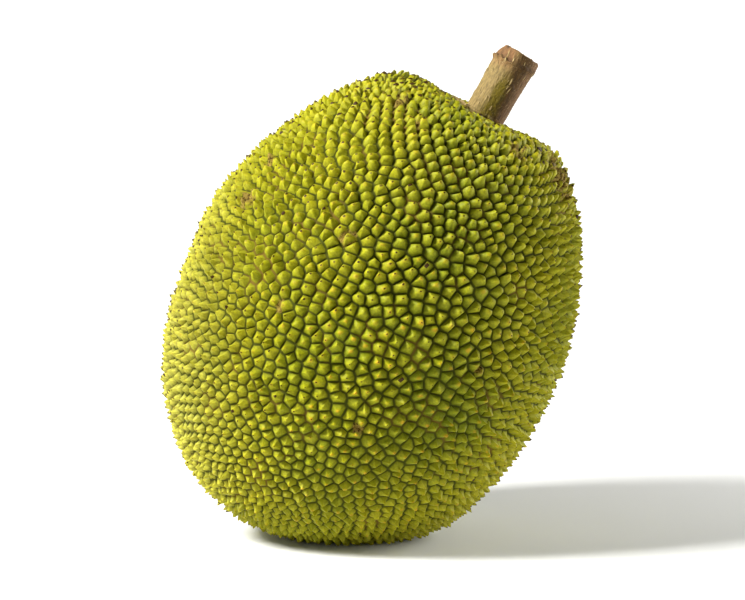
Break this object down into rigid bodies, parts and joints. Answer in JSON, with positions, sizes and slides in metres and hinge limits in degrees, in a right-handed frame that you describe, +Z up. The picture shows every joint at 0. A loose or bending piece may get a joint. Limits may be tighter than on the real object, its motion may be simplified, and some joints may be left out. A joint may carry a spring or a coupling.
{
  "type": "jackfruit",
  "caption": "Whole ripening jackfruit with a blunt-spined green rind and a short cut stalk, resting at a lean on a small flat spot.",
  "frame": {"origin": "centre of the small flat spot that the fruit rests on", "axes": "+Z up, and +X towards the side that the stalk leans to"},
  "size_m": [0.278, 0.2567, 0.3227],
  "materials": {
    "spiny_rind": "satin",
    "woody_stalk": "rough, fibrous bark"
  },
  "bodies": {
    "root": {"fruit": "spiny_rind", "stalk": "woody_stalk"}
  },
  "joints": []
}
